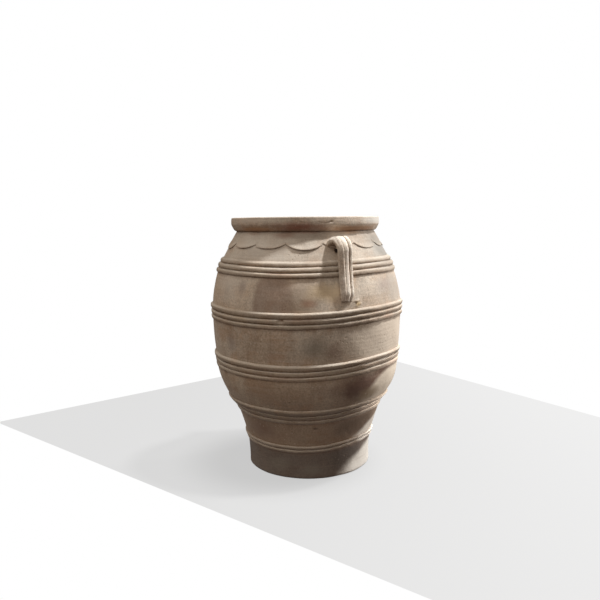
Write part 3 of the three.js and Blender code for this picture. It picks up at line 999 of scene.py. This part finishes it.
strap = {
    "thickness": 0.019, "crownWidth": 0.0485, "tailWidth": 0.043, "rootFlare": 1.08, "rootThick": 1.55,
    "reeds": (-0.5, -0.2, 0.19, 0.5),  # where the grooves run, in shares of the width
    "reedDepth": 0.0034, "reedPoints": 11, "rootHeight": 0.716, "rootSink": 0.014, "crownHeight": 0.734,
    "bend": 0.028, "run": 0.304, "tailHeight": 0.561,
    "tailShift": 0.0085,  # the strap was set a little askew
    "tailTwist": 17,  # degrees that the face turns by its lower end
    "tailBevel": 0.55,  # how much of the thickness the end loses
    "tailSink": 0.003,
    "steps": 26,  # per length of the path
    "bevelFrom": 0.962,
    "leads": ((0.016, 0.017), (0.006, 0.05), (0.009, 0.06)),  # how far the path heads on from root, bend and tail
    "rightRoll": (0.1, 1.3),  # how far in the side is rolled over, and how much
    "leftRoll": (0.28, 2),
    "workedAt": 0.67,  # where the fingers pressed most
    "workedUp": 0.035, "fingers": (120, 0.0008), "lumps": (42, 0.0007), "strands": 0.0006,
    "grooveDepth": 0.0024, "grooveSoilAndShade": 0.672,
    "look": wallLook(
        (
            # painted shade: darker on the left side of the root
            (-8, 0.708, 0.026, 0.016, (0.26, 0.19, 0.145), 0.8, 0.6, 0.7),
            # painted shade: dark spots in the gap under each handle's arch
            (-3, 0.702, 0.01, 0.01, (0.05, 0.035, 0.027), 0.9, 0.3, 0.6),
            (177, 0.702, 0.01, 0.01, (0.05, 0.035, 0.027), 0.9, 0.3, 0.6),
            (2, 0.665, 0.04, 0.03, ochre, 0.3, 0.9, 0.9),
            (178, 0.65, 0.04, 0.03, ochre, 0.4, 0.9, 0.9),
        ),
        # the right handle's clay is paler than the left's, partly painted light on the handle in front
        body=(0.81, 0.72, 0.61), pale=(0.85, 0.78, 0.69), warm=(0.76, 0.63, 0.51),
        rubbed=(0.85, 0.785, 0.69), bleached=(0.7, 0.655, 0.59), lineDepth=0.2, gritDepth=1.5,
    ),
    "leftTones": {"body": (0.56, 0.46, 0.365), "pale": (0.64, 0.555, 0.46), "warm": (0.52, 0.385, 0.28)},
}


def strapSection():
    # one reeded outer face, two rounded sides and a plain inner face, in shares of width and thickness
    reeds, depth = strap["reeds"], strap["reedDepth"] / strap["thickness"]
    count = strap["reedPoints"]
    points = []
    for left, right in zip(reeds, reeds[1:]):
        for step in range(count):
            inReed = step / count * 2 - 1
            across = mixed(left, right, step / count)
            reach, drop = strap["rightRoll"] if across > 0 else strap["leftRoll"]
            shoulder = depth * drop * (1 - eased(0, reach, 0.5 - abs(across)))
            points.append((across, 0.5 - depth * (1 - sqrt(1 - inReed * inReed)) - shoulder))
    points.append((0.5, 0.5 - depth * 2.3))
    side = ((0.5, 0), (0.5, -0.22), (0.475, -0.4), (0.4, -0.5))
    points += side
    points += [(across, -0.5) for across in (0.2, 0, -0.2)]
    points += [(-across, rise) for across, rise in reversed(side)]
    return points


def strapPath():
    crown, bend, run = strap["crownHeight"], strap["bend"], strap["run"]
    tail, root = strap["tailHeight"], strap["rootHeight"]
    rootRadius = wallRadius(root) - strap["rootSink"]
    tailRadius = wallRadius(tail) + strap["thickness"] / 2 - strap["tailSink"]
    hold = bend * 0.5523  # handle length of a quarter round
    (rootOut, rootUp), (runIn, runDown), (tailIn, tailUp) = strap["leads"]
    start, turned = (run - bend, crown), (run, crown - bend)
    knots = (
        ((rootRadius, root), (rootRadius + rootOut, root + rootUp), (run - bend - rootOut, crown), start),
        (start, (run - bend + hold, crown), (run, crown - bend + hold), turned),
        (turned, (run - runIn, crown - bend - runDown), (tailRadius - tailIn, tail + tailUp), (tailRadius, tail)),
    )
    path = []
    for knot in knots:
        points = geometry.interpolate_bezier(*[Vector((radius, 0, z)) for radius, z in knot], strap["steps"])
        path += points if not path else points[1:]
    return path


def strapStations():
    path = strapPath()
    last = len(path) - 1
    stations = []
    for index, point in enumerate(path):
        along = (path[min(last, index + 1)] - path[max(0, index - 1)]).normalized()
        out = Vector((-along.z, 0, along.x))
        share = index / last
        width = mixed(strap["crownWidth"], strap["tailWidth"], eased(0.3, 1, share))
        width *= mixed(strap["rootFlare"], 1, eased(0, 0.2, share))
        thick = strap["thickness"] * mixed(strap["rootThick"], 1, eased(0, 0.24, share))
        end = eased(strap["bevelFrom"], 1, share) * strap["tailBevel"]
        width *= 1 - 0.12 * end
        askew = Vector((0, strap["tailShift"] * eased(0.35, 1, share), 0))
        point = point - out * thick * end / 2 + askew
        twist = Matrix.Rotation(-radians(strap["tailTwist"]) * eased(0.35, 0.8, share), 3, along)
        turn = Matrix((twist @ Vector((0, width, 0)), twist @ out * thick * (1 - end), along)).transposed()
        stations.append(Matrix.Translation(point) @ turn.to_4x4())
    return stations


def makeHandle(name, node, turn, seed, handleClay):
    stations = strapStations()
    last = len(stations) - 1
    clay = bmesh.new()
    crest, dirtAndShade, inside = wearLayers(clay)
    loop = [clay.verts.new(stations[0] @ Vector((across, rise, 0))) for across, rise in strapSection()]
    edges = [clay.edges.new((loop[i - 1], loop[i])) for i in range(len(loop))]
    bmesh.ops.contextual_create(clay, geom=edges)
    marks = {}
    for index, (before, after) in enumerate(zip(stations, stations[1:])):
        grown = bmesh.ops.extrude_edge_only(clay, edges=edges)["geom"]
        ends = {item for item in grown if isinstance(item, bmesh.types.BMVert)}
        edges = [item for item in grown if isinstance(item, bmesh.types.BMEdge) and set(item.verts) <= ends]
        bmesh.ops.transform(clay, matrix=after @ before.inverted(), verts=list(ends))
        marks.update(dict.fromkeys(ends, index + 1))
    bmesh.ops.contextual_create(clay, geom=edges)
    bmesh.ops.recalc_face_normals(clay, faces=clay.faces)
    clay.normal_update()
    depth = strap["reedDepth"] / strap["thickness"]
    moves = []
    for vert, station in marks.items():
        share = station / last
        local = stations[station].inverted() @ vert.co
        spot = vert.co + Vector((0, 0, seed))
        worked = bell(vert.co.z - strap["workedAt"], strap["workedUp"])
        move = bumps(spot, *strap["fingers"]) * mixed(0.35, 1, worked) + bumps(spot, *strap["lumps"])
        ridge = valley = groove = 0
        if local.y > 0.1:
            ridge = eased(0.5 - depth, 0.5, local.y)
            valley = (1 - ridge) * 0.2 if abs(local.x) < 0.42 else 0
            groove = bell(local.x - strap["reeds"][2], 0.035) * eased(0.18, 0.3, share)
            strands = bumps(Vector((local.x * 26, seed, share * 5)), 1, strap["strands"])
            move += strands - groove * strap["grooveDepth"]
        moves.append((vert, vert.normal * move))
        # painted shade: darker on the left side turned from the light, on the face toward the wall, on the right
        # edge and in the grooves and valleys, and darker towards the root
        turned = eased(-0.18, -0.4, local.x) * eased(0.25, 0.45, share) * 0.55
        hidden = max(eased(0.43, 0.5, local.x), eased(-0.1, -0.45, local.y)) * 0.8
        vert[crest] = ridge * 0.8
        vert[dirtAndShade] = max(valley, groove * strap["grooveSoilAndShade"], turned, eased(0.1, 0.03, share) * 0.5, hidden)
    for vert, move in moves:
        vert.co += move
    bmesh.ops.transform(clay, matrix=Matrix.Rotation(radians(turn), 4, "Z"), verts=clay.verts)
    finishPiece(name, clay, handleClay, node, 55)


leftLook = wallLook(strap["look"]["stainsAndPaintedLight"], lineDepth=0.2, gritDepth=1.5, **strap["leftTones"])
makeHandle("strapHandleRight", "handle_right", -1.4, 0, clayMaterial("strapRightClay", strap["look"]))
makeHandle("strapHandleLeft", "handle_left", 180, 4.3, clayMaterial("strapLeftClay", leftLook))
print("handles pulled")


# floor and light

plate = {
    "corners": ((-0.856, -1.001), (2.324, 0.687), (2.374, 1.602), (-1.574, 0.96)),
    "glowLeft": (0.695, 0.695, 0.695), "glowRight": (0.835, 0.835, 0.835), "longWay": (0.4, 0.92),
    "glowFrom": -0.9,  # metres along the plate's long way
    "glowTo": 1.6,
    "shade": (0.595, 0.595, 0.595),  # painted contact shadow round the foot
    "shadeAt": (-0.03, -0.1, 0), "shadeFrom": 0.17, "shadeTo": 0.38, "paint": (0.82, 0.82, 0.82),
    "share": 0.06,  # how much of the floor's tone follows the light
}


def makeFloor():
    flat = bmesh.new()
    flat.faces.new([flat.verts.new((x, y, 0)) for x, y in plate["corners"]])
    bmesh.ops.recalc_face_normals(flat, faces=flat.faces)
    material = bpy.data.materials.new("glowingFloor")
    freshTree(material)
    place = put("TexCoord").outputs["Object"]
    longWay, wide = plate["longWay"]
    way = plus(times(partOf(place, "X"), longWay), times(partOf(place, "Y"), wide))
    brighter = ramp(way, plate["glowFrom"], plate["glowTo"])
    # painted light and shadow: the floor glows, brighter along its long way, with a shadow painted round the foot
    paper = tint(brighter, plate["glowLeft"], plate["glowRight"])
    fromFoot = vectors("DISTANCE", place, plate["shadeAt"])
    nearFoot = ramp(fromFoot, plate["shadeTo"], plate["shadeFrom"])
    paper = tint(nearFoot, paper, plate["shade"])
    glow = put("Emission", {"Color": paper, "Strength": 1})
    matte = put("BsdfDiffuse", {"Color": plate["paint"]})
    both = put("MixShader", {0: plate["share"], 1: glow.outputs[0], 2: matte.outputs[0]})
    put("OutputMaterial", {"Surface": both.outputs[0]})
    board = meshObject("floorPlate", flat, material)
    board.visible_diffuse = False


makeFloor()

studio = {
    "lamps": (
        # name, strength, spread, degrees round the jar, degrees above the ground, colour
        ("keyLamp", 4.3, 5, 70, 66, (1, 1, 1)),
        ("sideLamp", 3, 7, 93, 11, (1, 0.97, 0.93)),
    ),
    "fillSide": -75,  # the open side of the studio, degrees round the jar
    "fillSpread": 0.35,
    "horizon": (0.1, 0.46),  # where the sky fades in above the ground
    "skyBright": (1.06, 0.97, 0.87), "skyDim": (0.14, 0.14, 0.14), "ground": (0.07, 0.042, 0.028),
    "paper": (1, 1, 1),  # the backdrop that the camera sees
}


def aimAt(side, height):
    return around(radians(side), cos(radians(height)), sin(radians(height)))


def lightStudio():
    for name, strength, spread, side, height, colour in studio["lamps"]:
        lamp = bpy.data.lights.new(name, "SUN")
        lamp.energy = strength
        lamp.angle = radians(spread)
        lamp.color = colour
        aim = aimAt(side, height).to_track_quat("Z", "Y")
        addObject(name, lamp).matrix_world = aim.to_matrix().to_4x4()
    scene.world = bpy.data.worlds.new("studioSky")
    freshTree(scene.world)
    place = put("TexCoord").outputs["Generated"]
    across = vectors("DOT_PRODUCT", place, aimAt(studio["fillSide"], 0))
    openSide = ramp(across, -studio["fillSpread"], studio["fillSpread"])
    sky = tint(openSide, studio["skyDim"], studio["skyBright"])
    sky = tint(ramp(partOf(place, "Z"), *studio["horizon"]), studio["ground"], sky)
    fill = put("Background", {"Color": sky, "Strength": 1})
    paper = put("Background", {"Color": studio["paper"], "Strength": 1})
    seen = put("LightPath").outputs["Is Camera Ray"]
    both = put("MixShader", {0: seen, 1: fill.outputs[0], 2: paper.outputs[0]})
    put("OutputWorld", {"Surface": both.outputs[0]})
    scene.view_settings.view_transform = "Standard"
    scene.view_settings.look = "None"


lightStudio()
print("floor and light set")
